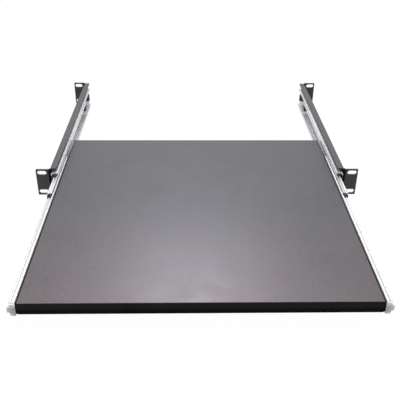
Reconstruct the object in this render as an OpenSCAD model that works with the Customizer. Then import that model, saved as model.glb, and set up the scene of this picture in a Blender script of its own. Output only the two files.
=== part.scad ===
// Sliding shelf for a 19-inch rack: two folded side brackets, two three-section ball slides and a folded tray.
// X runs to the right, Y to the back and Z up. The origin is the middle of the front ears' slot pattern,
// on the ears' front faces. The shelf is drawn pulled out.

/* [Rack] */
// Width over the ears
rack_w = 482.6; // [478:0.1:484]
// Distance between the middles of an ear's two slots
slot_pitch_z = 31.75; // [30:0.05:32.5]
// Height of an ear's slot
slot_h = 6.5; // [5.5:0.1:7.5]

/* [Brackets] */
// Length over the front and rear ears
bracket_len = 372; // [350:1:480]
// Sheet thickness
bracket_t = 2; // [1.5:0.1:2.5]
// How far an ear stands out of its web
ear_w = 19.8; // [18:0.1:22]
// Distance between a slot and the ear's free end
slot_edge = 1.75; // [1.5:0.05:3]
// Distance between a slot and the outside of the web
slot_root = 4.05; // [3.5:0.05:6]
// Distance between a slot and the ear's upper or lower edge
slot_rim = 2.375; // [1.5:0.125:4]
// Width of the top flange
flange_w = 10.5; // [8:0.5:12]
// Outside radius of the folds
bracket_bend = 4; // [2.6:0.1:4.5]
// Radius of the ears' corners
ear_corner = 1.5; // [0.5:0.1:2]
// Length of the slots that the slides are screwed through
adjust_len = 9; // [6:0.5:14]

/* [Slides] */
// Height of the outer member
slide_h = 35; // [34.5:0.5:38]
// Sheet thickness of the three members
member_t = 1.5; // [1.3:0.05:1.6]
// Outside radius of the members' folds
member_bend = 2.2; // [2:0.1:2.6]
// Distance from the ears' front faces to the outer member's front
slide_setback = 1; // [0.5:0.5:4]
// Distance from the outer member's rear to the rear ears' rear faces
slide_back = 16; // [5:0.5:40]
// How much shorter the middle member is than the outer one
middle_short = 6; // [4:1:30]
// How much longer the inner member is than the outer one
inner_over = 4; // [1:0.5:4]
// How far the slides' middle line lies under the slot pattern's middle
slide_drop = 2.5; // [0.5:0.1:3.5]
// Ball diameter
ball_d = 3; // [2.8:0.05:3]
// Height of the stop tabs at the inner members' fronts
tab_h = 12; // [10:0.5:15]
// Height of a tab's tongue
tongue_h = 7; // [5:0.5:8]
// Distance between balls
ball_pitch = 16; // [10:0.5:24]
// Length of the outer ball cage
outer_cage_len = 150; // [100:1:155]
// Length of the inner ball cage
inner_cage_len = 126; // [90:1:126]
// Sheet thickness of the ball cages
cage_t = 0.6; // [0.4:0.05:0.6]
// Length of a stop clip
clip_len = 12; // [10:0.5:13]
// How far a stop clip stands out of its member
clip_out = 6; // [3:0.5:6]
// Height of the stop blocks at the middle members' rears
rear_stop_h = 8; // [5:0.5:9]
// Length of the rear bumpers
bumper_len = 8; // [5:0.5:8]
// Height of the rear bumpers
bumper_h = 12; // [10:0.5:18]

/* [Shelf] */
// How much deeper the shelf is than the inner members are long
shelf_over = 65; // [40:1:90]
// Sheet thickness
shelf_t = 1.5; // [1.2:0.1:2]
// Height of the front lip
lip_h = 15.5; // [14:0.5:19]
// Height of the rear flange
rear_flange_h = 15; // [12:0.5:17]
// Outside radius of the folds
shelf_bend = 2.5; // [2.1:0.1:3.2]
// Width of the return folded in under the front lip
lip_return = 6; // [5:0.5:12]
// Chamfer of the front lip's lower corners
lip_chamfer = 2; // [1:0.5:3]
// Height of the top face over the slides' middle line
shelf_rise = 8.4; // [7:0.1:9.4]
// Width of the channel under the shelf
stiffener_w = 40; // [25:1:60]
// Height of the channel under the shelf
stiffener_h = 12; // [8:0.5:13]

/* [Fasteners] */
// Thread diameter of the screws
screw_d = 4; // [3.5:0.1:4.2]
// Diameter of the screw heads
head_d = 8; // [7:0.1:8.5]
// Height of the low heads inside the outer members
low_head_h = 0.9; // [0.6:0.05:0.9]
// Height of the heads inside the inner members
head_h = 1.6; // [1.2:0.1:2]
// Width across flats of the nuts
nut_w = 7; // [6.5:0.1:7.5]
// Height of the nuts
nut_h = 3.2; // [2.4:0.1:3.2]
// Screws along each member
screws = 3; // [2:1:5]

/* [Pull out] */
// Distance that the middle members' fronts stand before the ears
middle_out = 52; // [48:0.5:60]
// Length of the inner members that is still inside the middle members
inner_hold = 124.5; // [110:0.5:160]

/* [Hidden] */
$fn = 64;

// Overrun of every cut past the face that it starts from
over = 1;
// Clearance between pieces that slide past each other
run_gap = 0.3;
// Clearance between a ball and its groove, and between a ball and its hole in the cage
groove_gap = 0.15;
hole_gap = 0.1;
// Clearance of a screw in its hole
screw_gap = 0.25;
// Depth that the grooves are pressed into the lips
groove_depth = 0.4;

// Brackets and their ears' slots
bracket_w = rack_w - 2 * ear_w;
bracket_h = slot_pitch_z + slot_h + 2 * slot_rim;
slot_len = ear_w - slot_edge - slot_root;
slot_x = rack_w / 2 - slot_edge - slot_len / 2;

// Across a slide, u runs from the bracket's web to the shelf and v up from the slide's middle line
slide_x = bracket_w / 2 - bracket_t;
slide_z = -slide_drop;
groove_r = ball_d / 2 + groove_gap;
ball_hole_d = ball_d + 2 * hole_gap;
// What is left of a cage past its holes
cage_rim = 0.5;
// Clearance between the middle member's hooks and the inner member's web
web_gap = 0.4;
// Distance from the back of the middle member's web to the outer row of balls
row_inset = 2.8;

// Outer member: lip underside, row of balls, cage and hook
outer_top = slide_h / 2;
outer_under = outer_top - member_t;
outer_ball_v = outer_under + groove_depth - groove_r;
outer_cage_u = member_t + low_head_h + run_gap;
middle_u = outer_cage_u + cage_t + run_gap;
outer_ball_u = middle_u + row_inset;
outer_cage_end = outer_ball_u + ball_hole_d / 2 + cage_rim;
outer_hook_u = outer_cage_end + run_gap;
outer_lip = outer_hook_u + member_t;

// Middle member, one row of balls further in
middle_top = outer_ball_v - groove_r + groove_depth;
middle_under = middle_top - member_t;
inner_ball_v = middle_under + groove_depth - groove_r;
inner_cage_u = middle_u + member_t + run_gap;
inner_lip_u = inner_cage_u + cage_t + run_gap;
inner_ball_u = inner_lip_u + groove_r;
inner_cage_end = inner_ball_u + ball_hole_d / 2 + cage_rim;
middle_hook_t = member_t / 2;
middle_hook_u = inner_cage_end + run_gap;
middle_lip = middle_hook_u + middle_hook_t;

// Inner member
inner_top = inner_ball_v - groove_r + groove_depth;
inner_web_u = middle_lip + web_gap;
slide_t = inner_web_u + member_t;
shelf_w = 2 * (slide_x - slide_t);

// Distance from the shelf's front to the inner members' tabs
tab_setback = 0.5;
// What is left between a cage and the clip before it when a member is fully out
cage_end_gap = 3.5;
// How far the middle members still come forward
middle_reach = 75;

// Places along Y
outer_front = slide_setback;
outer_rear = bracket_len - slide_back;
middle_front = -middle_out;
middle_rear = middle_front + outer_rear - outer_front - middle_short;
inner_rear = middle_front + inner_hold;
inner_front = inner_rear - (outer_rear - outer_front) - inner_over;
shelf_front = inner_front - tab_setback;
shelf_rear = shelf_front + inner_rear - inner_front + shelf_over;
outer_cage_front = outer_front + clip_len - clip_out + cage_end_gap + middle_reach / 2;
inner_cage_front = middle_front + clip_len - clip_out + cage_end_gap;

// Height of the shelf's top face
shelf_z = slide_z + shelf_rise;

zinc = [0.86, 0.87, 0.89];
black_coat = [0.16, 0.16, 0.17];
black_plastic = [0.09, 0.09, 0.1];
steel = [0.75, 0.76, 0.78];

// First quadrant of a ring of outside radius r and thickness t
module quarter_ring(r, t) {
    difference() {
        intersection() {
            circle(r);
            square(r);
        }
        circle(r - t);
    }
}

// A block between two corners
module block(low, high) {
    translate(low) cube(high - low);
}

// A profile in X and Z, drawn along Y
module along_y(from, to) {
    translate([0, to, 0]) rotate([90, 0, 0]) linear_extrude(to - from) children();
}

// A profile in Y and Z, drawn along X
module along_x(from, to) {
    translate([from, 0, 0]) rotate([90, 0, 90]) linear_extrude(to - from) children();
}

// A round slot in X and Z, of overall length and height, drawn through Y
module slot_y(x, z, length, height, from, to) {
    along_y(from, to) slot_outline(x, z, length, height);
}

// The outline of a slot with round ends
module slot_outline(x, z, length, height) {
    straight = length - height;
    translate([x - straight / 2, z - height / 2]) square([straight, height]);
    for (end = [-1, 1]) {
        translate([x + end * straight / 2, z]) circle(height / 2);
    }
}

// What is drawn on the right is mirrored for the left
module on_side(side) {
    mirror([side == "left" ? 1 : 0, 0, 0]) children();
}

// The u and v of a slide, placed on the right
module on_slide(side) {
    on_side(side) translate([slide_x, 0, slide_z]) mirror([1, 0, 0]) children();
}

// The same outline above and below the middle line
module up_and_down() {
    children();
    mirror([0, 1]) children();
}

// Places of the screws along a member
function screw_places(from, to) = [for (i = [0:screws - 1]) from + (to - from) * (i + 0.5) / screws];

// Places of the balls along a cage
function ball_places(from, length) =
    let (count = floor((length - 2 * ball_d) / ball_pitch) + 1,
         first = from + (length - (count - 1) * ball_pitch) / 2)
    [for (i = [0:count - 1]) first + i * ball_pitch];

// Web and top flange of a bracket, folded at the upper edge
module bracket_profile() {
    outside = bracket_w / 2;
    top = bracket_h / 2;
    translate([outside - bracket_t, -top]) square([bracket_t, bracket_h - bracket_bend]);
    translate([outside - flange_w, top - bracket_t]) square([flange_w - bracket_bend, bracket_t]);
    translate([outside - bracket_bend, top - bracket_bend]) quarter_ring(bracket_bend, bracket_t);
}

// Outline of one ear beyond its fold, with round outer corners
module ear_outline() {
    from = bracket_w / 2 - bracket_t + bracket_bend;
    outside = rack_w / 2;
    top = bracket_h / 2;
    translate([from, -top]) square([outside - ear_corner - from, bracket_h]);
    translate([from, -top + ear_corner]) square([outside - from, bracket_h - 2 * ear_corner]);
    for (end = [-1, 1]) {
        translate([outside - ear_corner, end * (top - ear_corner)]) circle(ear_corner);
    }
}

// An ear with its two slots and the fold that joins it to the web, at the front
module ear() {
    difference() {
        along_y(0, bracket_t) ear_outline();
        for (end = [-1, 1]) {
            slot_y(slot_x, end * slot_pitch_z / 2, slot_len, slot_h, -over, bracket_t + over);
        }
    }
    translate([bracket_w / 2 - bracket_t + bracket_bend, bracket_bend, -bracket_h / 2])
        linear_extrude(bracket_h) rotate(180) quarter_ring(bracket_bend, bracket_t);
}

module bracket(side) {
    color(black_coat) on_side(side) difference() {
        union() {
            along_y(bracket_bend, bracket_len - bracket_bend) bracket_profile();
            ear();
            translate([0, bracket_len, 0]) mirror([0, 1, 0]) ear();
        }
        for (y = screw_places(outer_front, outer_rear)) {
            translate([bracket_w / 2 - bracket_t - over, 0, 0]) rotate([90, 0, 90])
                linear_extrude(bracket_t + 2 * over)
                slot_outline(y, slide_z, adjust_len, screw_d + 2 * screw_gap);
        }
    }
}

// Lip of a member, with a hook at its free end and a groove for the balls on one or both faces
module member_lip(from, to, top, hook_from, hook_low) {
    translate([from, top - member_t]) square([to - from, member_t]);
    translate([hook_from, hook_low]) square([to - hook_from, top - hook_low]);
}

module outer_profile() {
    difference() {
        union() {
            translate([0, -outer_top + member_bend]) square([member_t, 2 * (outer_top - member_bend)]);
            up_and_down() {
                member_lip(member_bend, outer_lip, outer_top, outer_hook_u, middle_top + run_gap);
                translate([member_bend, outer_top - member_bend]) mirror([1, 0])
                    quarter_ring(member_bend, member_t);
            }
        }
        up_and_down() translate([outer_ball_u, outer_ball_v]) circle(groove_r);
    }
}

module middle_profile() {
    difference() {
        union() {
            translate([middle_u, -middle_top + member_bend])
                square([member_t, 2 * (middle_top - member_bend)]);
            up_and_down() {
                member_lip(middle_u + member_bend, middle_lip, middle_top, middle_hook_u, inner_top + run_gap);
                translate([middle_u + member_bend, middle_top - member_bend]) mirror([1, 0])
                    quarter_ring(member_bend, member_t);
            }
        }
        up_and_down() {
            translate([outer_ball_u, outer_ball_v]) circle(groove_r);
            translate([inner_ball_u, inner_ball_v]) circle(groove_r);
        }
    }
}

module inner_profile() {
    difference() {
        union() {
            translate([inner_web_u, -inner_top + member_bend])
                square([member_t, 2 * (inner_top - member_bend)]);
            up_and_down() {
                translate([inner_lip_u, inner_top - member_t])
                    square([slide_t - member_bend - inner_lip_u, member_t]);
                translate([slide_t - member_bend, inner_top - member_bend])
                    quarter_ring(member_bend, member_t);
            }
        }
        up_and_down() translate([inner_ball_u, inner_ball_v]) circle(groove_r);
    }
}

// Holes through a member's web
module web_holes(from_u, to_u, places) {
    for (y = places) {
        translate([from_u - over, y, 0]) rotate([0, 90, 0])
            cylinder(d = screw_d + 2 * screw_gap, h = to_u - from_u + 2 * over);
    }
}

module outer_member(side) {
    color(zinc) on_slide(side) difference() {
        along_y(outer_front, outer_rear) outer_profile();
        web_holes(0, member_t, screw_places(outer_front, outer_rear));
    }
}

module middle_member(side) {
    color(zinc) on_slide(side) along_y(middle_front, middle_rear) middle_profile();
}

// The tab is bent out of the inner member's web at its front and steps down to a narrow tongue
module inner_member(side) {
    color(zinc) on_slide(side) difference() {
        union() {
            along_y(inner_front + member_t, inner_rear) inner_profile();
            block([inner_lip_u, inner_front, -tab_h / 2], [slide_t, inner_front + member_t, tab_h / 2]);
            block([middle_u, inner_front, -tongue_h / 2], [inner_lip_u, inner_front + member_t, tongue_h / 2]);
        }
        web_holes(inner_web_u, slide_t, screw_places(inner_front, inner_rear));
    }
}

// Outline of a C with a web and two legs, square at its corners
module c_outline(web_u, web_end, leg_end, leg_low, leg_top) {
    difference() {
        translate([web_u, -leg_top]) square([leg_end - web_u, 2 * leg_top]);
        translate([web_end, -leg_low]) square([leg_end - web_end + over, 2 * leg_low]);
    }
}

// A row of balls' cage: a strip along the web with a leg over each row
module cage(side, from, length, u, end_u, ball_u, ball_v) {
    color(black_plastic) on_slide(side) difference() {
        along_y(from, from + length)
            c_outline(u, u + cage_t, end_u, ball_v - cage_t / 2, ball_v + cage_t / 2);
        for (y = ball_places(from, length), row = [-1, 1]) {
            translate([ball_u, y, row * ball_v - over]) cylinder(d = ball_hole_d, h = 2 * over);
        }
    }
}

module balls(side, from, length, ball_u, ball_v) {
    color(steel) on_slide(side) for (y = ball_places(from, length), row = [-1, 1]) {
        translate([ball_u, y, row * ball_v]) sphere(d = ball_d);
    }
}

module outer_cage(side) {
    cage(side, outer_cage_front, outer_cage_len, outer_cage_u, outer_cage_end, outer_ball_u, outer_ball_v);
}

module outer_balls(side) {
    balls(side, outer_cage_front, outer_cage_len, outer_ball_u, outer_ball_v);
}

module inner_cage(side) {
    cage(side, inner_cage_front, inner_cage_len, inner_cage_u, inner_cage_end, inner_ball_u, inner_ball_v);
}

module inner_balls(side) {
    balls(side, inner_cage_front, inner_cage_len, inner_ball_u, inner_ball_v);
}

// A C whose outer corners are cut off, so that it clears the folds of the member around it
module clip_outline(web_u, web_end, leg_end, leg_low, leg_top) {
    corner = member_bend - member_t;
    difference() {
        c_outline(web_u, web_end, leg_end, leg_low, leg_top);
        up_and_down() polygon([[web_u - over, leg_top + over], [web_u - over, leg_top - corner - over],
                               [web_u + corner + over, leg_top + over]]);
    }
}

// A plastic clip that fills the row of balls' space at the end of a member and stands out of it with two prongs
module stop_clip(side, from, out_from, out_to, web_u, web_end, leg_end, leg_low, leg_top) {
    prong = (leg_end - web_u) / 4;
    color(black_plastic) on_slide(side) difference() {
        along_y(from, from + clip_len) clip_outline(web_u, web_end, leg_end, leg_low, leg_top);
        block([web_u + prong, out_from, -leg_top - over], [leg_end - prong, out_to, leg_top + over]);
    }
}

module front_stop(side) {
    from = outer_front - clip_out;
    stop_clip(side, from, from - over, from + clip_out / 2, member_t, middle_u - run_gap,
              outer_hook_u, middle_top + run_gap, outer_under);
}

module middle_front_stop(side) {
    from = middle_front - clip_out;
    stop_clip(side, from, from - over, from + clip_out / 2, middle_u + member_t, inner_lip_u - run_gap,
              middle_hook_u, inner_top + run_gap, middle_under);
}

// A block on the middle member's web, notched at its rear, that meets the bumper
module middle_rear_stop(side) {
    web = middle_u + member_t;
    prong = (middle_hook_u - web) / 4;
    to = middle_rear + clip_out;
    half = rear_stop_h / 2;
    color(black_plastic) on_slide(side) difference() {
        block([web, to - clip_len, -half], [middle_hook_u, to, half]);
        block([web + prong, to - clip_out / 2, -half - over], [middle_hook_u - prong, to + over, half + over]);
    }
}

// A bumper across the outer member's rear end, in the way of the inner member
module rear_bumper(side) {
    color(black_plastic) on_slide(side)
        block([member_t, outer_rear - bumper_len, -bumper_h / 2], [outer_hook_u, outer_rear, bumper_h / 2]);
}

// A screw along u with a domed head, and its nut
module screw(u, head, reach) {
    dome_r = (head_d * head_d / 4 + head * head) / (2 * head);
    translate([u, 0, 0]) rotate([0, 90, 0]) {
        cylinder(d = screw_d, h = reach);
        intersection() {
            translate([0, 0, dome_r - head]) sphere(dome_r);
            translate([0, 0, -head]) cylinder(d = head_d, h = head);
        }
    }
}

module nut(u) {
    translate([u, 0, 0]) rotate([0, 90, 0]) difference() {
        cylinder(d = nut_w / cos(30), h = nut_h, $fn = 6);
        translate([0, 0, -over]) cylinder(d = screw_d, h = nut_h + 2 * over);
    }
}

module outer_screws(side) {
    color(zinc) on_slide(side) for (y = screw_places(outer_front, outer_rear)) {
        translate([0, y, 0]) mirror([1, 0, 0]) screw(-member_t, low_head_h, member_t + bracket_t + nut_h);
    }
}

module outer_nuts(side) {
    color(zinc) on_slide(side) for (y = screw_places(outer_front, outer_rear)) {
        translate([0, y, 0]) nut(-bracket_t - nut_h);
    }
}

module inner_screws(side) {
    color(zinc) on_slide(side) for (y = screw_places(inner_front, inner_rear)) {
        translate([0, y, 0]) screw(inner_web_u, head_h, member_t + shelf_t + nut_h);
    }
}

module inner_nuts(side) {
    color(zinc) on_slide(side) for (y = screw_places(inner_front, inner_rear)) {
        translate([0, y, 0]) nut(slide_t + shelf_t);
    }
}

// Top and side flanges of the shelf, folded down
module shelf_profile() {
    half = shelf_w / 2;
    translate([-half + shelf_bend, shelf_z - shelf_t]) square([2 * (half - shelf_bend), shelf_t]);
    for (side = [0, 1]) {
        mirror([side, 0]) {
            translate([half - shelf_bend, shelf_z - shelf_bend]) quarter_ring(shelf_bend, shelf_t);
            translate([half - shelf_t, shelf_z - lip_h]) square([shelf_t, lip_h - shelf_bend]);
        }
    }
}

// Front lip with its return, and the rear flange, in Y and Z
module lip_profile() {
    low = shelf_z - lip_h;
    translate([shelf_front + shelf_bend, shelf_z - shelf_t]) square([shelf_bend, shelf_t]);
    translate([shelf_front + shelf_bend, shelf_z - shelf_bend]) mirror([1, 0]) quarter_ring(shelf_bend, shelf_t);
    translate([shelf_front, low + shelf_bend]) square([shelf_t, lip_h - 2 * shelf_bend]);
    translate([shelf_front + shelf_bend, low + shelf_bend]) rotate(180) quarter_ring(shelf_bend, shelf_t);
    translate([shelf_front + shelf_bend, low]) square([lip_return - shelf_bend, shelf_t]);
}

module rear_profile() {
    translate([shelf_rear - 2 * shelf_bend, shelf_z - shelf_t]) square([shelf_bend, shelf_t]);
    translate([shelf_rear - shelf_bend, shelf_z - shelf_bend]) quarter_ring(shelf_bend, shelf_t);
    translate([shelf_rear - shelf_t, shelf_z - rear_flange_h]) square([shelf_t, rear_flange_h - shelf_bend]);
}

module shelf() {
    corner_gap = run_gap;
    lip_half = shelf_w / 2 - shelf_t - corner_gap;
    low = shelf_z - lip_h;
    color(black_coat) difference() {
        union() {
            along_y(shelf_front + shelf_bend, shelf_rear - shelf_bend) shelf_profile();
            difference() {
                along_x(-lip_half, lip_half) lip_profile();
                for (side = [0, 1]) {
                    mirror([side, 0, 0]) along_y(shelf_front - over, shelf_front + lip_return + over)
                        polygon([[lip_half + over, low - over], [lip_half + over, low + lip_chamfer + over],
                                 [lip_half - lip_chamfer - over, low - over]]);
                }
            }
            along_x(-lip_half, lip_half) rear_profile();
        }
        for (side = ["left", "right"]) {
            on_slide(side) web_holes(slide_t, slide_t + shelf_t, screw_places(inner_front, inner_rear));
        }
    }
}

// A channel with outward feet, welded under the middle of the shelf
module stiffener() {
    under = shelf_z - shelf_t;
    half = shelf_w / 2 - shelf_t - run_gap;
    middle = (shelf_front + shelf_rear) / 2;
    foot = stiffener_w / 4;
    color(black_coat) along_x(-half + lip_return, half - lip_return) {
        translate([middle - stiffener_w / 2 + foot, under - stiffener_h])
            square([stiffener_w - 2 * foot, shelf_t]);
        for (side = [-1, 1]) {
            translate([middle + side * (stiffener_w / 2 - foot - shelf_t / 2) - shelf_t / 2, under - stiffener_h])
                square([shelf_t, stiffener_h]);
            translate([middle + side * (stiffener_w - foot) / 2 - foot / 2, under - shelf_t])
                square([foot, shelf_t]);
        }
    }
}

bracket("left");  // bracket_left
bracket("right");  // bracket_right
outer_member("left");  // outer_member_left
outer_member("right");  // outer_member_right
middle_member("left");  // middle_member_left
middle_member("right");  // middle_member_right
inner_member("left");  // inner_member_left
inner_member("right");  // inner_member_right
shelf();
stiffener();
front_stop("left");  // front_stop_left
front_stop("right");  // front_stop_right
rear_bumper("left");  // rear_bumper_left
rear_bumper("right");  // rear_bumper_right
middle_front_stop("left");  // middle_front_stop_left
middle_front_stop("right");  // middle_front_stop_right
middle_rear_stop("left");  // middle_rear_stop_left
middle_rear_stop("right");  // middle_rear_stop_right
outer_cage("left");  // outer_cage_left
outer_cage("right");  // outer_cage_right
outer_balls("left");  // outer_balls_left
outer_balls("right");  // outer_balls_right
inner_cage("left");  // inner_cage_left
inner_cage("right");  // inner_cage_right
inner_balls("left");  // inner_balls_left
inner_balls("right");  // inner_balls_right
outer_screws("left");  // outer_screws_left
outer_screws("right");  // outer_screws_right
outer_nuts("left");  // outer_nuts_left
outer_nuts("right");  // outer_nuts_right
inner_screws("left");  // inner_screws_left
inner_screws("right");  // inner_screws_right
inner_nuts("left");  // inner_nuts_left
inner_nuts("right");  // inner_nuts_right
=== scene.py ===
import math

import bmesh
import bpy
from mathutils import Matrix, Vector


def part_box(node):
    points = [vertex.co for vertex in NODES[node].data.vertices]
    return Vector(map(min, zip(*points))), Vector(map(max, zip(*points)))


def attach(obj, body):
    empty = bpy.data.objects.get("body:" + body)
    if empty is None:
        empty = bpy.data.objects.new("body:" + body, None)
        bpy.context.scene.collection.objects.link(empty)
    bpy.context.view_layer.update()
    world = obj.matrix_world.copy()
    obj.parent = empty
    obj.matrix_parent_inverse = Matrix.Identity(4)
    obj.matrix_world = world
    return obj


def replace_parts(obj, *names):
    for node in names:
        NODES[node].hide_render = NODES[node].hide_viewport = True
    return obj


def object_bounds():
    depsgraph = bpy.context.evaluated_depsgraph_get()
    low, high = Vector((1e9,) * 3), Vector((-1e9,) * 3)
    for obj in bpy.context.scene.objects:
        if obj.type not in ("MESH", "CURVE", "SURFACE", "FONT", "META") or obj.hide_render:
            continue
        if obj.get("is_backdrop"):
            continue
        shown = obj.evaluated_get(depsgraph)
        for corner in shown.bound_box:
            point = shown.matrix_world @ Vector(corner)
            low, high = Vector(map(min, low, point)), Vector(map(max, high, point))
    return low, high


# Sliding rack shelf, in metres in the CAD's frame: materials, cut screws and nuts, rear tabs, camera, light
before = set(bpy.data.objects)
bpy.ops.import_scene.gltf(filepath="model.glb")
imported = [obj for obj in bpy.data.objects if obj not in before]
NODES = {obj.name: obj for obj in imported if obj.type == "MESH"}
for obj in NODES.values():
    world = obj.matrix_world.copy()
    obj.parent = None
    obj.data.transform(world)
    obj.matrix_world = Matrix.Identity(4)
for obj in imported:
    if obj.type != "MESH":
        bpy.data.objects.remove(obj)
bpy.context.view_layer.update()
SIDES = ("left", "right")
AXES = "XYZ"

scene = bpy.context.scene
scene.view_settings.view_transform = "Standard"


def both(stem):
    """The names of the left and the right node."""
    return [stem + "_" + side for side in SIDES]


def rgb(red, green, blue):
    return (red, green, blue, 1.0)


# Places for the materials
def places(node, axis, shares):
    """Places along an axis of a CAD node, each at a share of the node's size from its lowest corner."""
    low, high = (corner[AXES.index(axis)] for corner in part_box(node))
    return [low + share * (high - low) for share in shares]


# where painted light turns the tray's top lighter and warmer: not yet at the first place, and fully at the
# second one, nearer its front
FRONT_LIGHT_Y = places("shelf", "Y", (0.535, 0.064))
# where the painted tint of the tray's highlight shifts from bluish to pinkish toward its front
SHEEN_TINT_Y = places("shelf", "Y", (0.323, 0.040))

# the upper half of the tray's lip, from where its coat begins to pale to where it is palest
LIP_TOP_Z = places("shelf", "Z", (0.329, 0.652))

# where the rails turn darker toward the rear: not yet at the first place, and fully at the second one
DARKER_REAR_Y = places("outer_member_left", "Y", (0.56, 0.87))

# the tab bent out at an inner member's front, from its inner to its outer edge and up to its top
TAB_X = places("inner_member_right", "X", (0.106, 1.064))
TAB_Z = places("inner_member_right", "Z", (0.579, 0.921))

# the stretches of a bracket's web next to the ears, where shade is painted on the inward faces
BRACKET_FRONT, BRACKET_REAR = places("bracket_left", "Y", (0.0, 1.0))
BRACKET_SHEET = 0.002
SHADED_REACH = 0.05
SHADED_FADE = 0.02


# Node helpers
class Tree:
    """A material's node tree, with short calls for the nodes that are used here."""

    BEVEL_SAMPLES = 6

    def __init__(self, name):
        self.mat = bpy.data.materials.new(name)
        self.mat.use_nodes = True
        self.tree = self.mat.node_tree
        self.tree.nodes.clear()
        out = self.tree.nodes.new("ShaderNodeOutputMaterial")
        self.bsdf = self.tree.nodes.new("ShaderNodeBsdfPrincipled")
        self.tree.links.new(self.bsdf.outputs[0], out.inputs[0])
        texture = self.tree.nodes.new("ShaderNodeTexCoord")
        self.coord = texture.outputs["Object"]
        self.facing = texture.outputs["Normal"]

    def put(self, socket, value):
        """Links a socket to an output, or sets it to a constant."""
        if isinstance(value, bpy.types.NodeSocket):
            self.tree.links.new(value, socket)
        elif value is not None:
            socket.default_value = value

    def set(self, name, value):
        """Links or sets an input of the shader itself."""
        self.put(self.bsdf.inputs[name], value)

    def stretch(self, scale):
        """The coordinates times three numbers, such as for lines along a rolling direction."""
        node = self.tree.nodes.new("ShaderNodeMapping")
        self.put(node.inputs["Vector"], self.coord)
        node.inputs["Scale"].default_value = scale
        return node.outputs[0]

    def noise(self, scale, detail, rough, vector=None, distortion=0.0):
        """Noise around 0.5, with scale waves a metre."""
        node = self.tree.nodes.new("ShaderNodeTexNoise")
        self.put(node.inputs["Vector"], vector or self.coord)
        node.inputs["Scale"].default_value = scale
        node.inputs["Detail"].default_value = detail
        node.inputs["Roughness"].default_value = rough
        node.inputs["Distortion"].default_value = distortion
        return node.outputs["Fac"]

    def voronoi(self, scale):
        """The distance to the middle of a cell, with scale cells a metre."""
        node = self.tree.nodes.new("ShaderNodeTexVoronoi")
        self.put(node.inputs["Vector"], self.coord)
        node.inputs["Scale"].default_value = scale
        return node.outputs["Distance"]

    def span(self, value, ends, to=(0.0, 1.0)):
        """Maps a value from one range to another, and holds it at the ends outside."""
        node = self.tree.nodes.new("ShaderNodeMapRange")
        self.put(node.inputs["Value"], value)
        node.inputs["From Min"].default_value, node.inputs["From Max"].default_value = ends
        node.inputs["To Min"].default_value, node.inputs["To Max"].default_value = to
        return node.outputs[0]

    def maths(self, how, a, b=0.0, clamp=False):
        node = self.tree.nodes.new("ShaderNodeMath")
        node.operation = how
        node.use_clamp = clamp
        self.put(node.inputs[0], a)
        self.put(node.inputs[1], b)
        return node.outputs[0]

    def times(self, a, b, clamp=False):
        return self.maths("MULTIPLY", a, b, clamp)

    def weigh(self, a, share_a, b, share_b):
        """The sum of two values, each times its share."""
        return self.maths("ADD", self.times(a, share_a), self.times(b, share_b))

    def mix(self, factor, a, b):
        """Colour a where factor is 0, and colour b where it is 1."""
        node = self.tree.nodes.new("ShaderNodeMix")
        node.data_type = "RGBA"
        self.put(node.inputs[0], factor)
        self.put(node.inputs[6], a)
        self.put(node.inputs[7], b)
        return node.outputs[2]

    def brighten(self, colour, value):
        """A colour with its brightness times value."""
        node = self.tree.nodes.new("ShaderNodeHueSaturation")
        self.put(node.inputs["Color"], colour)
        self.put(node.inputs["Value"], value)
        return node.outputs[0]

    def part(self, vector, axis):
        """The X, Y or Z of a vector."""
        node = self.tree.nodes.new("ShaderNodeSeparateXYZ")
        self.put(node.inputs[0], vector)
        return node.outputs[AXES.index(axis)]

    def soft_edge(self, radius):
        """The normal, rounded at edges."""
        node = self.tree.nodes.new("ShaderNodeBevel")
        node.samples = self.BEVEL_SAMPLES
        node.inputs["Radius"].default_value = radius
        return node.outputs[0]

    def edges(self, radius):
        """1 where the surface bends within radius, such as along folds and cut edges."""
        flat = self.tree.nodes.new("ShaderNodeNewGeometry")
        same = self.tree.nodes.new("ShaderNodeVectorMath")
        same.operation = "DOT_PRODUCT"
        self.put(same.inputs[0], self.soft_edge(radius))
        self.put(same.inputs[1], flat.outputs["Normal"])
        return self.span(same.outputs["Value"], (0.99, 0.86))

    def facing_up(self):
        """1 on level faces that look up, 0 on folds and upright faces."""
        return self.span(self.part(self.facing, "Z"), (0.93, 0.995))

    def facing_front(self):
        """1 on faces that look to the front."""
        return self.span(self.part(self.facing, "Y"), (-0.6, -0.9))

    def facing_inward(self):
        """1 on upright faces that look to the middle of the object."""
        outward = self.times(self.part(self.facing, "X"), self.part(self.coord, "X"))
        return self.span(outward, (-0.05, -0.15))

    def folds(self):
        """1 on the upright folds between an ear and its web, 0 on flat faces; the brackets get painted shade
        there.
        """
        across = self.maths("ABSOLUTE", self.part(self.facing, "Y"))
        tilt = self.maths("ABSOLUTE", self.part(self.facing, "Z"))
        turning = self.times(self.span(across, (0.03, 0.2)), self.span(across, (0.995, 0.93)))
        return self.times(turning, self.span(tilt, (0.5, 0.2)))

    def toward(self, axis, ends):
        """Rises from 0 to 1 between two places along an axis; X counts from the middle to either side."""
        place = self.part(self.coord, axis)
        if axis == "X":
            place = self.maths("ABSOLUTE", place)
        return self.span(place, ends)

    def band(self, low, high, fade):
        """1 between two places along Y, fading to 0 at both."""
        return self.times(self.toward("Y", (low, low + fade)), self.toward("Y", (high, high - fade)))

    def bump(self, height, distance, strength, normal=None):
        node = self.tree.nodes.new("ShaderNodeBump")
        node.inputs["Strength"].default_value = strength
        node.inputs["Distance"].default_value = distance
        self.put(node.inputs["Height"], height)
        self.put(node.inputs["Normal"], normal)
        return node.outputs[0]


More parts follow.
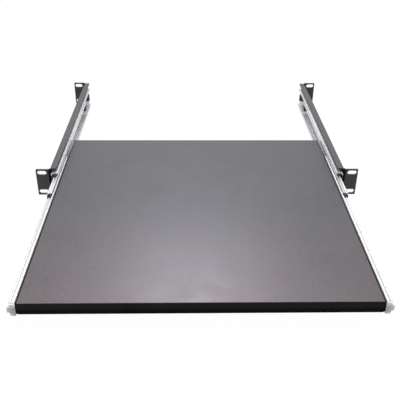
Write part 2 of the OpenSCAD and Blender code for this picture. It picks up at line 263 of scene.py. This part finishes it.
# Kinds of finish
def powder_coat(tree, colour, tint, dust_and_sheen, worn, rough, specular, grain, shade=None, shade_colour=None):
    """Fine textured powder coat: grains of about a millimetre, mottled, thinner and shinier on the edges.

    The coat drifts between colour and tint. dust_and_sheen lightens level faces, partly as a real dusting and
    partly as a painted sheen, worn shows on chipped edges, and shade_colour is painted shade where shade is
    1. specular is for upright and for level faces, grain is the grains a metre.
    """
    level = tree.facing_up()
    coarse = tree.noise(grain, detail=3.0, rough=0.62)
    fine = tree.noise(grain * 2.7, detail=2.0, rough=0.5)
    grains = tree.weigh(coarse, 0.65, fine, 0.35)
    cloud = tree.noise(9.0, detail=3.0, rough=0.55, distortion=0.4)
    base = tree.mix(tree.span(cloud, (0.35, 0.65)), colour, tint)
    speckled = tree.brighten(base, tree.span(grains, (0.38, 0.64), to=(0.72, 1.3)))
    # lighter level faces: partly a real dusting and partly a painted sheen
    dust_and_sheen_share = tree.times(level, tree.span(grains, (0.32, 0.68), to=(0.45, 0.88)))
    coat = tree.mix(dust_and_sheen_share, speckled, dust_and_sheen)
    shine = tree.span(level, (0.0, 1.0), to=specular)
    # painted shade: the shade colour where shade is 1, with the shine lowered there too
    if shade_colour is not None:
        coat = tree.mix(shade, coat, shade_colour)
        shine = tree.times(shine, tree.span(shade, (0.0, 1.0), to=(1.0, 0.12)))
    chips = tree.span(tree.noise(140.0, detail=4.0, rough=0.7), (0.48, 0.72))
    wear = tree.times(tree.edges(radius=0.0006), chips, clamp=True)
    smudge = tree.noise(22.0, detail=4.0, rough=0.6, distortion=0.8)
    smudge = tree.span(smudge, (0.3, 0.7), to=(-0.045, 0.045))
    matt = tree.span(grains, (0.3, 0.7), to=(rough - 0.06, rough + 0.06))
    rounded = tree.soft_edge(radius=0.0003)
    tree.set("Base Color", tree.mix(wear, coat, worn))
    tree.set("Roughness", tree.maths("ADD", matt, smudge))
    tree.set("Specular IOR Level", shine)
    tree.set("Normal", tree.bump(grains, distance=0.00022, strength=0.9, normal=rounded))
    return tree.mat


def zinc_plate(tree, colour, dull, lines, rough, metal, streak=1.0, cut=None, rear_tone=None):
    """Bright zinc over rolled steel: fine rolling lines, cloudy passivation, small scuffs.

    lines is how fine the rolling lines are along X, Y and Z, and streak how much they stand out. cut is a
    painted shade, the colour of faces that look to the front, and rear_tone the colour toward the rear.
    """
    rolled = tree.noise(1.0, detail=3.0, rough=0.6, vector=tree.stretch(lines))
    cloud = tree.noise(35.0, detail=4.0, rough=0.6, distortion=0.6)
    scuff = tree.span(tree.noise(60.0, detail=5.0, rough=0.7), (0.58, 0.8))
    wide = tree.noise(1.0, detail=2.0, rough=0.5, vector=tree.stretch((210.0, 1.5, 210.0)))
    body = tree.mix(tree.span(wide, (0.4, 0.6)), colour, dull)
    # painted shade: faces that look to the front take the cut colour, or dull
    body = tree.mix(tree.facing_front(), body, cut or dull)
    # darker toward the rear of the rails
    if rear_tone is not None:
        body = tree.mix(tree.toward("Y", DARKER_REAR_Y), body, rear_tone)
    body = tree.mix(tree.span(cloud, (0.35, 0.68), to=(0.0, 0.3)), body, dull)
    body = tree.mix(tree.span(tree.voronoi(420.0), (0.1, 0.7), to=(0.0, 0.06)), body, dull)
    tree.set("Base Color", tree.mix(tree.times(scuff, 0.22), body, rgb(0.42, 0.42, 0.42)))
    tree.set("Metallic", metal)
    matt = tree.span(rolled, (0.3, 0.7), to=(rough - 0.05, rough + 0.09))
    tree.set("Roughness", tree.weigh(matt, 1.0, scuff, 0.16))
    relief = tree.weigh(rolled, streak, cloud, 0.4)
    rounded = tree.soft_edge(radius=0.00035)
    tree.set("Normal", tree.bump(relief, distance=0.00003, strength=0.6, normal=rounded))
    return tree.mat


def moulded(tree, colour, worn, rough):
    """Moulded black plastic: faint flow marks, fine spark-eroded grain, edges worn by rubbing."""
    grain = tree.noise(1800.0, detail=2.0, rough=0.5)
    flow = tree.noise(70.0, detail=3.0, rough=0.55, distortion=1.0)
    rubs = tree.span(tree.noise(300.0, detail=3.0, rough=0.6), (0.4, 0.7))
    rub = tree.times(tree.edges(radius=0.0004), rubs, clamp=True)
    tree.set("Base Color", tree.mix(rub, tree.mix(tree.span(flow, (0.35, 0.65)), colour, worn), worn))
    matt = tree.maths("ADD", grain, flow)
    tree.set("Roughness", tree.span(matt, (0.7, 1.3), to=(rough - 0.07, rough + 0.1)))
    tree.set("Specular IOR Level", 0.45)
    rounded = tree.soft_edge(radius=0.0003)
    tree.set("Normal", tree.bump(grain, distance=0.00004, strength=0.6, normal=rounded))
    return tree.mat


def turned_zinc(tree, colour, dull):
    """Zinc-plated screws and nuts: turned marks and patchy plate."""
    patch = tree.noise(260.0, detail=4.0, rough=0.65)
    marks = tree.noise(1.0, detail=2.0, rough=0.5, vector=tree.stretch((500.0, 3500.0, 3500.0)))
    relief = tree.weigh(marks, 1.0, patch, 0.5)
    tree.set("Base Color", tree.mix(tree.span(patch, (0.38, 0.66)), colour, dull))
    tree.set("Metallic", 1.0)
    tree.set("Roughness", tree.span(marks, (0.3, 0.7), to=(0.24, 0.42)))
    rounded = tree.soft_edge(radius=0.00025)
    tree.set("Normal", tree.bump(relief, distance=0.00004, strength=0.6, normal=rounded))
    return tree.mat


# Materials
def shelf_coat():
    """Black coat of the tray: lighter on top, partly dusty and partly a painted sheen, with painted light
    that makes the top lighter and warmer toward the front, a painted highlight tint, and a paler top of its
    lip.
    """
    tree = Tree("shelf coat")
    patch = tree.span(tree.noise(30.0, detail=3.0, rough=0.6, distortion=0.5), (0.3, 0.7), to=(0.6, 1.3))
    upper = tree.times(tree.toward("Z", LIP_TOP_Z), patch, clamp=True)
    upper_coat = rgb(0.0125, 0.0113, 0.0120)
    streaks = tree.noise(1.0, detail=4.0, rough=0.6, vector=tree.stretch((16.0, 70.0, 16.0)), distortion=0.5)
    # painted light: the top turns lighter and warmer toward the front, in streaks
    front_light = tree.mix(tree.span(streaks, (0.36, 0.64)), rgb(0.126, 0.111, 0.117), rgb(0.136, 0.112, 0.118))
    # a painted highlight tint: the reflection turns from bluish to pinkish toward the front
    sheen = tree.mix(tree.toward("Y", SHEEN_TINT_Y), rgb(0.97, 0.96, 1.0), rgb(1.0, 0.93, 0.98))
    tree.set("Specular Tint", sheen)
    return powder_coat(
        tree,
        colour=tree.mix(upper, rgb(0.0018, 0.0018, 0.0016), upper_coat),
        tint=tree.mix(upper, rgb(0.0030, 0.0029, 0.0028), upper_coat),
        dust_and_sheen=tree.mix(tree.toward("Y", FRONT_LIGHT_Y), rgb(0.081, 0.082, 0.092), front_light),
        worn=rgb(0.03, 0.03, 0.032),
        rough=0.34,
        specular=(0.03, 0.5),
        grain=620.0,
    )


def bracket_coat():
    """Black coat of the side brackets, lighter on level faces with a dusting and a painted sheen, and with
    painted shade in the folds and on the webs next to the ears.
    """
    tree = Tree("bracket coat")
    front = tree.band(BRACKET_FRONT + BRACKET_SHEET, BRACKET_FRONT + SHADED_REACH, SHADED_FADE)
    rear = tree.band(BRACKET_REAR - SHADED_REACH, BRACKET_REAR - BRACKET_SHEET, SHADED_FADE)
    # painted shade on the inward faces of the webs next to the ears
    painted_web_shade = tree.times(tree.maths("MAXIMUM", front, rear), tree.facing_inward())
    return powder_coat(
        tree,
        colour=rgb(0.019, 0.0185, 0.0185),
        tint=rgb(0.022, 0.0215, 0.0215),
        dust_and_sheen=rgb(0.064, 0.0638, 0.0702),
        worn=rgb(0.10, 0.10, 0.102),
        rough=0.5,
        specular=(0.45, 0.5),
        grain=700.0,
        shade=tree.maths("MAXIMUM", tree.folds(), painted_web_shade),
        shade_colour=rgb(0.004, 0.004, 0.0045),
    )


def outer_zinc():
    return zinc_plate(
        Tree("rail zinc"),
        colour=rgb(0.84, 0.85, 0.85),
        dull=rgb(0.70, 0.71, 0.72),
        lines=(900.0, 5.0, 900.0),
        rough=0.42,
        metal=0.55,
        rear_tone=rgb(0.60, 0.58, 0.62),
    )


def middle_zinc():
    return zinc_plate(
        Tree("middle zinc"),
        colour=rgb(0.70, 0.71, 0.72),
        dull=rgb(0.52, 0.53, 0.54),
        lines=(1100.0, 6.0, 1100.0),
        rough=0.32,
        metal=0.85,
        rear_tone=rgb(0.50, 0.49, 0.51),
    )


def inner_zinc():
    """Zinc of the inner members, whose front tabs carry painted light and shade: paler toward their outer
    edges and their tops.
    """
    tree = Tree("inner zinc")
    # painted shade and light on the front tabs: dark at their inner edges, paler toward their outer edges and
    # their tops
    tab = tree.mix(tree.toward("X", TAB_X), rgb(0.25, 0.25, 0.235), rgb(0.45, 0.455, 0.43))
    return zinc_plate(
        tree,
        colour=rgb(0.74, 0.75, 0.74),
        dull=rgb(0.46, 0.47, 0.45),
        lines=(800.0, 4.0, 800.0),
        rough=0.32,
        metal=0.85,
        cut=tree.mix(tree.toward("Z", TAB_Z), tab, rgb(0.66, 0.66, 0.63)),
    )


def end_tab_zinc():
    """Pale zinc of the outer members' rear tabs, with upright rolling lines."""
    return zinc_plate(
        Tree("tab zinc"),
        colour=rgb(0.93, 0.90, 0.93),
        dull=rgb(0.90, 0.87, 0.90),
        lines=(900.0, 900.0, 5.0),
        rough=0.5,
        metal=0.1,
        streak=0.5,
    )


def ball_steel():
    """Polished steel under a thin film of grease."""
    tree = Tree("ball steel")
    film = tree.noise(500.0, detail=3.0, rough=0.6)
    polish = tree.noise(2600.0, detail=2.0, rough=0.5)
    tree.set("Base Color", tree.mix(tree.span(film, (0.4, 0.7)), rgb(0.68, 0.69, 0.71), rgb(0.5, 0.48, 0.42)))
    tree.set("Metallic", 1.0)
    tree.set("Roughness", tree.span(film, (0.35, 0.7), to=(0.08, 0.24)))
    tree.set("Normal", tree.bump(polish, distance=0.00001, strength=0.4))
    return tree.mat


def clip_plastic():
    return moulded(Tree("clip plastic"), rgb(0.007, 0.007, 0.0075), rgb(0.02, 0.02, 0.021), rough=0.42)


def bumper_plastic():
    return moulded(Tree("bumper plastic"), rgb(0.028, 0.028, 0.03), rgb(0.055, 0.055, 0.058), rough=0.6)


def cage_plastic():
    return moulded(Tree("cage plastic"), rgb(0.022, 0.021, 0.020), rgb(0.05, 0.046, 0.04), rough=0.36)


def dress(mat, *names):
    """Gives CAD nodes a material."""
    for name in names:
        slots = NODES[name].data.materials
        slots.clear()
        slots.append(mat)


SCREW_ZINC = turned_zinc(Tree("screw zinc"), rgb(0.74, 0.75, 0.77), rgb(0.6, 0.58, 0.5))
NUT_ZINC = turned_zinc(Tree("nut zinc"), rgb(0.7, 0.71, 0.73), rgb(0.52, 0.51, 0.46))

dress(shelf_coat(), "shelf", "stiffener")
dress(bracket_coat(), *both("bracket"))
dress(outer_zinc(), *both("outer_member"))
dress(middle_zinc(), *both("middle_member"))
dress(inner_zinc(), *both("inner_member"))
dress(clip_plastic(), *both("front_stop"), *both("middle_front_stop"), *both("middle_rear_stop"))
dress(bumper_plastic(), *both("rear_bumper"))
dress(cage_plastic(), *both("outer_cage"), *both("inner_cage"))
dress(ball_steel(), *both("outer_balls"), *both("inner_balls"))
dress(SCREW_ZINC, *both("outer_screws"), *both("inner_screws"))
dress(NUT_ZINC, *both("outer_nuts"), *both("inner_nuts"))


# Meshes
def mesh_of(shape, name):
    """Turns a bmesh into a mesh whose faces look outward."""
    mesh = bpy.data.meshes.new(name)
    bmesh.ops.recalc_face_normals(shape, faces=shape.faces[:])
    shape.to_mesh(mesh)
    shape.free()
    return mesh


def around(radii):
    """Points in Y and Z at even turns around X, one for each radius."""
    turns = [2 * math.pi * k / len(radii) for k in range(len(radii))]
    return [(r * math.cos(turn), r * math.sin(turn)) for r, turn in zip(radii, turns)]


def ring(shape, x, radii):
    """A ring of points around X, one for each radius."""
    return [shape.verts.new((x, y, z)) for y, z in around(radii)]


def skin(shape, rings):
    """Faces between rings that follow each other, of which the first and the last may be single points."""
    steps = max(map(len, rings))
    for one, two in zip(rings, rings[1:]):
        for k in range(steps):
            after = (k + 1) % steps
            if len(one) == 1:
                shape.faces.new((one[0], two[k], two[after]))
            elif len(two) == 1:
                shape.faces.new((one[k], two[0], one[after]))
            else:
                shape.faces.new((one[k], two[k], two[after], one[after]))


def turned(profile, steps=48):
    """A closed body turned about X from (x, radius) pairs, whose first and last radius is 0."""
    shape = bmesh.new()
    skin(shape, [ring(shape, x, [r] * steps if r else [0.0]) for x, r in profile])
    return shape


def prism(outline, from_x, to_x):
    """A straight body along X from an outline in Y and Z."""
    shape = bmesh.new()
    near = [shape.verts.new((from_x, y, z)) for y, z in outline]
    far = [shape.verts.new((to_x, y, z)) for y, z in outline]
    shape.faces.new(near)
    shape.faces.new(list(reversed(far)))
    for k in range(len(outline)):
        after = (k + 1) % len(outline)
        shape.faces.new((near[after], near[k], far[k], far[after]))
    return shape


def carve(body, tool, how):
    """The boolean of two meshes as a new mesh."""
    objects = [bpy.data.objects.new("carve_body", body), bpy.data.objects.new("carve_tool", tool)]
    for obj in objects:
        scene.collection.objects.link(obj)
    boolean = objects[0].modifiers.new("carve", "BOOLEAN")
    boolean.operation = how
    boolean.object = objects[1]
    boolean.solver = "EXACT"
    carved = objects[0].evaluated_get(bpy.context.evaluated_depsgraph_get())
    mesh = bpy.data.meshes.new_from_object(carved)
    for obj in objects:
        bpy.data.objects.remove(obj)
    return mesh


EDGE_ANGLE = math.radians(35)
EDGE_SEGMENTS = 2


def piece(name, mesh, mat, body, edge):
    """A piece of the object that rides on a body, with its sharp edges rounded by edge."""
    mesh.materials.append(mat)
    obj = bpy.data.objects.new(name, mesh)
    scene.collection.objects.link(obj)
    bevel = obj.modifiers.new("edge", "BEVEL")
    bevel.width = edge
    bevel.segments = EDGE_SEGMENTS
    bevel.limit_method = "ANGLE"
    bevel.angle_limit = EDGE_ANGLE
    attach(obj, body)
    return obj


# Screws and nuts
SCREW_R = 0.002
OUTER_HEAD_HEIGHT = 0.0009
INNER_HEAD_HEIGHT = 0.0016

# how far their sharp edges are rounded, and how far a nut's bore is cut past its ends
FASTENER_EDGE = 0.00008
OVERRUN = 0.001

# a head, and shares of its radius: its seat's radius, and its cross's reach and half width
HEAD_R = 0.004
DOME_STEPS = 9
SEAT_SHARE = 0.97
CROSS_ARM_SHARE = 0.56
CROSS_HALF_SHARE = 0.11

# shares of a head's height: its rim, its cross's depth, and where the cross's cutter starts
RIM_SHARE = 0.12
CROSS_DEPTH_SHARE = 0.62
CROSS_TOP_SHARE = 2

# a thread: its crests stay a gap inside the plain screw, and its tip narrows toward a share of its radius
THREAD_DEPTH = 0.00032
THREAD_PITCH = 0.0007
THREAD_GAP = 0.00003
RINGS_A_PITCH = 6
TIP_LENGTH = 0.0005
TIP_SHARE = 0.8
TIP_END_SHARE = 0.15

# a nut: the round faces at its ends take a share of its width over flats, its chamfers fall by a share of
# what its corners reach past them, and its bore has a short countersunk lead
NUT_FLATS = 0.007
NUT_CORNERS = 6
NUT_FACE_SHARE = 0.96
NUT_FALL_SHARE = 0.58
NUT_LEAD = 0.0004

# how the cross recesses are turned: the first one, and each one further than the one before
FIRST_TURN = 0.5
NEXT_TURN = 0.9

# parts of a node that lie nearer than this along Y are one screw or nut
APART = 0.002


def single_boxes(node):
    """The lowest and highest corner of each separate screw or nut of a CAD node, from front to rear."""
    shape = bmesh.new()
    shape.from_mesh(NODES[node].data)
    left = set(shape.verts)
    found = []
    while left:
        stack = [left.pop()]
        seen = list(stack)
        while stack:
            for edge in stack.pop().link_edges:
                for v in edge.verts:
                    if v in left:
                        left.remove(v)
                        stack.append(v)
                        seen.append(v)
        low = Vector(min(v.co[i] for v in seen) for i in range(3))
        high = Vector(max(v.co[i] for v in seen) for i in range(3))
        found.append((low, high))
    shape.free()
    merged = []
    for low, high in sorted(found, key=lambda corners: corners[0].y):
        if merged and low.y < merged[-1][1].y + APART:
            last = merged[-1]
            merged[-1] = (Vector(map(min, last[0], low)), Vector(map(max, last[1], high)))
        else:
            merged.append((low, high))
    return merged


def head_mesh(height):
    """A domed head whose seat is at X 0 and top at -height, with a cross recess."""
    dome_r = (HEAD_R**2 + height**2) / (2 * height)
    profile = [(0.0, 0.0), (0.0, HEAD_R * SEAT_SHARE), (-height * RIM_SHARE, HEAD_R)]
    for k in range(1, DOME_STEPS):
        r = HEAD_R * (1 - k / DOME_STEPS)
        profile.append((-(math.sqrt(dome_r**2 - r**2) - (dome_r - height)), r))
    profile.append((-height, 0.0))
    arm = HEAD_R * CROSS_ARM_SHARE
    half = HEAD_R * CROSS_HALF_SHARE
    cross = [(arm, -half), (arm, half), (half, half), (half, arm), (-half, arm), (-half, half), (-arm, half),
             (-arm, -half), (-half, -half), (-half, -arm), (half, -arm), (half, -half)]
    recess = prism(cross, -height * CROSS_TOP_SHARE, -height * (1 - CROSS_DEPTH_SHARE))
    return carve(mesh_of(turned(profile), "head"), mesh_of(recess, "cross"), "DIFFERENCE")


def thread_mesh(length, steps=24):
    """A threaded rod from X 0 to length, whose radius swings between crest and valley, with a narrow tip."""
    shape = bmesh.new()
    rows = int(length / (THREAD_PITCH / RINGS_A_PITCH)) + 1
    rings = []
    for i in range(rows + 1):
        x = length * i / rows
        whole = min(1.0, (length - x) / TIP_LENGTH + TIP_END_SHARE)
        radii = []
        for k in range(steps):
            phase = (x / THREAD_PITCH - k / steps) % 1.0
            valley = abs(2 * phase - 1)
            crest = SCREW_R - THREAD_GAP - THREAD_DEPTH * valley
            radii.append(crest * (TIP_SHARE + (1 - TIP_SHARE) * whole))
        rings.append(ring(shape, x, radii))
    skin(shape, rings)
    shape.faces.new(rings[0])
    shape.faces.new(list(reversed(rings[-1])))
    return mesh_of(shape, "thread")


def nut_mesh(height):
    """A hexagon nut from X 0 to height, chamfered at both ends, with a countersunk bore."""
    corner = NUT_FLATS / 2 / math.cos(math.pi / NUT_CORNERS)
    hexagon = around([corner] * NUT_CORNERS)
    face = NUT_FLATS / 2 * NUT_FACE_SHARE
    fall = (corner - face) * NUT_FALL_SHARE
    ends = [(0.0, 0.0), (0.0, face), (fall, corner), (height - fall, corner), (height, face), (height, 0.0)]
    body = carve(mesh_of(prism(hexagon, 0.0, height), "hexagon"), mesh_of(turned(ends), "ends"), "INTERSECT")
    mouth = SCREW_R + NUT_LEAD + OVERRUN
    bore = [(-OVERRUN, 0.0), (-OVERRUN, mouth), (NUT_LEAD, SCREW_R), (height - NUT_LEAD, SCREW_R),
            (height + OVERRUN, mouth), (height + OVERRUN, 0.0)]
    return carve(body, mesh_of(turned(bore, steps=24), "bore"), "DIFFERENCE")


def gather(node, body, mat, parts):
    """Joins meshes, each with its matrix, into one piece that stands for a CAD node."""
    name = node + "_cut"
    shape = bmesh.new()
    for mesh, matrix in parts:
        copy = mesh.copy()
        copy.transform(matrix)
        shape.from_mesh(copy)
    for face in shape.faces:
        face.smooth = False
    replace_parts(piece(name, mesh_of(shape, name), mat, body, FASTENER_EDGE), node)


def width_of(node):
    """A CAD node's size along X."""
    low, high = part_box(node)
    return high[0] - low[0]


def middle(low, high):
    """The Y and Z halfway between two corners."""
    return (low.y + high.y) / 2, (low.z + high.z) / 2


def screws(node, body, head_height, points_right):
    """Screws in the places of a CAD node's."""
    head = head_mesh(head_height)
    rod = thread_mesh(width_of(node) - head_height)
    parts = []
    for k, (low, high) in enumerate(single_boxes(node)):
        seat = low.x + head_height if points_right else high.x - head_height
        place = Matrix.Translation((seat, *middle(low, high)))
        if not points_right:
            place = place @ Matrix.Rotation(math.pi, 4, "Z")
        place = place @ Matrix.Rotation(FIRST_TURN + NEXT_TURN * k, 4, "X")
        parts += [(head, place), (rod, place)]
    gather(node, body, SCREW_ZINC, parts)


def nuts(node, body):
    """Nuts in the places of a CAD node's."""
    nut = nut_mesh(width_of(node))
    parts = [(nut, Matrix.Translation((low.x, *middle(low, high)))) for low, high in single_boxes(node)]
    gather(node, body, NUT_ZINC, parts)


for side in SIDES:
    screws("outer_screws_" + side, "rack_side", OUTER_HEAD_HEIGHT, points_right=side == "right")
    nuts("outer_nuts_" + side, "rack_side")
for side in SIDES:
    screws("inner_screws_" + side, "sliding_shelf", INNER_HEAD_HEIGHT, points_right=side == "left")
    nuts("inner_nuts_" + side, "sliding_shelf")


# Tabs under the rear bumpers
END_TAB_T = 0.0012
END_TAB_EDGE = 0.0003


def end_tab(side, mat):
    """A tab bent in at an outer member's rear, between the bumper and the lower lip."""
    low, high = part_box("rear_bumper_" + side)
    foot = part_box("middle_member_" + side)[0][2]
    web, tip = (low[0], high[0]) if side == "left" else (high[0], low[0])
    inner = web + math.copysign(END_TAB_T, tip - web)
    front, rear = low[1], high[1]
    outline = [(web, front), (tip, front), (tip, front + END_TAB_T), (inner, front + END_TAB_T),
               (inner, rear), (web, rear)]
    mesh = mesh_of(prism(outline, foot, low[2]), "tab")
    mesh.transform(Matrix(((0, 1, 0), (0, 0, 1), (1, 0, 0))).to_4x4())
    piece("outer_end_tab_" + side, mesh, mat, "rack_side", END_TAB_EDGE)


END_TAB_ZINC = end_tab_zinc()
for side in SIDES:
    end_tab(side, END_TAB_ZINC)


# Camera
def camera():
    """The photograph's camera, whose angles, place and lens were fitted to the rack's standard sizes."""
    pitch, yaw, roll = 0.53655, 0.02482, 0.01064
    place = Vector((-0.01642, -0.81379, 0.45253))
    forward = Vector((math.sin(yaw) * math.cos(pitch), math.cos(yaw) * math.cos(pitch), -math.sin(pitch)))
    right = Vector((math.cos(yaw), -math.sin(yaw), 0.0))
    up = right.cross(forward)
    across = math.cos(roll) * right + math.sin(roll) * up
    above = -math.sin(roll) * right + math.cos(roll) * up
    data = bpy.data.cameras.new("camera")
    data.lens = 55.453
    data.sensor_width = 36.0
    data.sensor_fit = "HORIZONTAL"
    data.clip_start = 0.01
    data.clip_end = 50.0
    obj = bpy.data.objects.new("camera", data)
    turn = Matrix((across, above, -forward)).transposed().to_4x4()
    obj.matrix_world = Matrix.Translation(place) @ turn
    scene.collection.objects.link(obj)
    scene.camera = obj


camera()


# Light, floor and background
def softbox(name, place, aim, size, energy, colour=(1.0, 1.0, 1.0)):
    """A lamp with a soft rectangle of light, aimed at a point."""
    data = bpy.data.lights.new(name, "AREA")
    data.shape = "RECTANGLE"
    data.size, data.size_y = size
    data.energy = energy
    data.color = colour
    obj = bpy.data.objects.new(name, data)
    obj.location = place
    obj.rotation_euler = (Vector(aim) - Vector(place)).to_track_quat("-Z", "Y").to_euler()
    scene.collection.objects.link(obj)


def seen_directly(tree):
    """1 for camera, glossy and transmission rays."""
    path = tree.nodes.new("ShaderNodeLightPath")
    value = path.outputs["Is Camera Ray"]
    for name in ("Is Glossy Ray", "Is Transmission Ray"):
        node = tree.nodes.new("ShaderNodeMath")
        node.operation = "MAXIMUM"
        tree.links.new(value, node.inputs[0])
        tree.links.new(path.outputs[name], node.inputs[1])
        value = node.outputs[0]
    return value


def mix_shaders(tree, factor, indirect, direct, surface):
    """Gives a surface one shader where factor is 0 and another where it is 1."""
    node = tree.nodes.new("ShaderNodeMixShader")
    tree.links.new(factor, node.inputs[0])
    tree.links.new(indirect.outputs[0], node.inputs[1])
    tree.links.new(direct.outputs[0], node.inputs[2])
    tree.links.new(node.outputs[0], surface)


def background():
    """A world that shows white and lights the object softly."""
    world = bpy.data.worlds.new("studio")
    world.use_nodes = True
    tree = world.node_tree
    tree.nodes.clear()
    out = tree.nodes.new("ShaderNodeOutputWorld")
    dim = tree.nodes.new("ShaderNodeBackground")
    dim.inputs["Color"].default_value = rgb(0.96, 0.97, 1.0)
    dim.inputs["Strength"].default_value = 0.4
    white = tree.nodes.new("ShaderNodeBackground")
    white.inputs["Color"].default_value = rgb(1.0, 1.0, 1.0)
    white.inputs["Strength"].default_value = 1.0
    mix_shaders(tree, seen_directly(tree), dim, white, out.inputs[0])
    scene.world = world


def floor(half_size=6.0, drop=0.0005, glow_share=0.98):
    """Pale paper that keeps the object's shadow and shows nearly as bright as the world around it.

    It lies a drop below the object, so that the two don't touch.
    """
    mesh = bpy.data.meshes.new("floor")
    shape = bmesh.new()
    bmesh.ops.create_grid(shape, x_segments=2, y_segments=2, size=half_size)
    shape.to_mesh(mesh)
    shape.free()
    obj = bpy.data.objects.new("floor", mesh)
    obj.location.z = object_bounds()[0][2] - drop
    scene.collection.objects.link(obj)
    mat = bpy.data.materials.new("floor")
    mat.use_nodes = True
    tree = mat.node_tree
    tree.nodes.clear()
    out = tree.nodes.new("ShaderNodeOutputMaterial")
    paper = tree.nodes.new("ShaderNodeBsdfDiffuse")
    paper.inputs["Color"].default_value = rgb(0.9, 0.9, 0.9)
    glow = tree.nodes.new("ShaderNodeEmission")
    glow.inputs["Strength"].default_value = 1.0
    share = tree.nodes.new("ShaderNodeMath")
    share.operation = "MULTIPLY"
    tree.links.new(seen_directly(tree), share.inputs[0])
    share.inputs[1].default_value = glow_share
    mix_shaders(tree, share.outputs[0], paper, glow, out.inputs[0])
    mesh.materials.append(mat)
    obj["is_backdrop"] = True


softbox("ceiling", place=(0.0, 0.2, 1.9), aim=(0.0, 0.0, 0.0), size=(1.6, 1.6), energy=26.0)
softbox("sheen", place=(-0.01, 0.986, 1.27), aim=(0.0, -0.2, 0.0), size=(0.42, 0.34), energy=10.6,
        colour=(0.92, 0.915, 1.0))
softbox("fill", place=(-0.9, -1.2, 1.1), aim=(0.0, 0.0, 0.0), size=(1.0, 1.0), energy=6.0)
background()
floor()
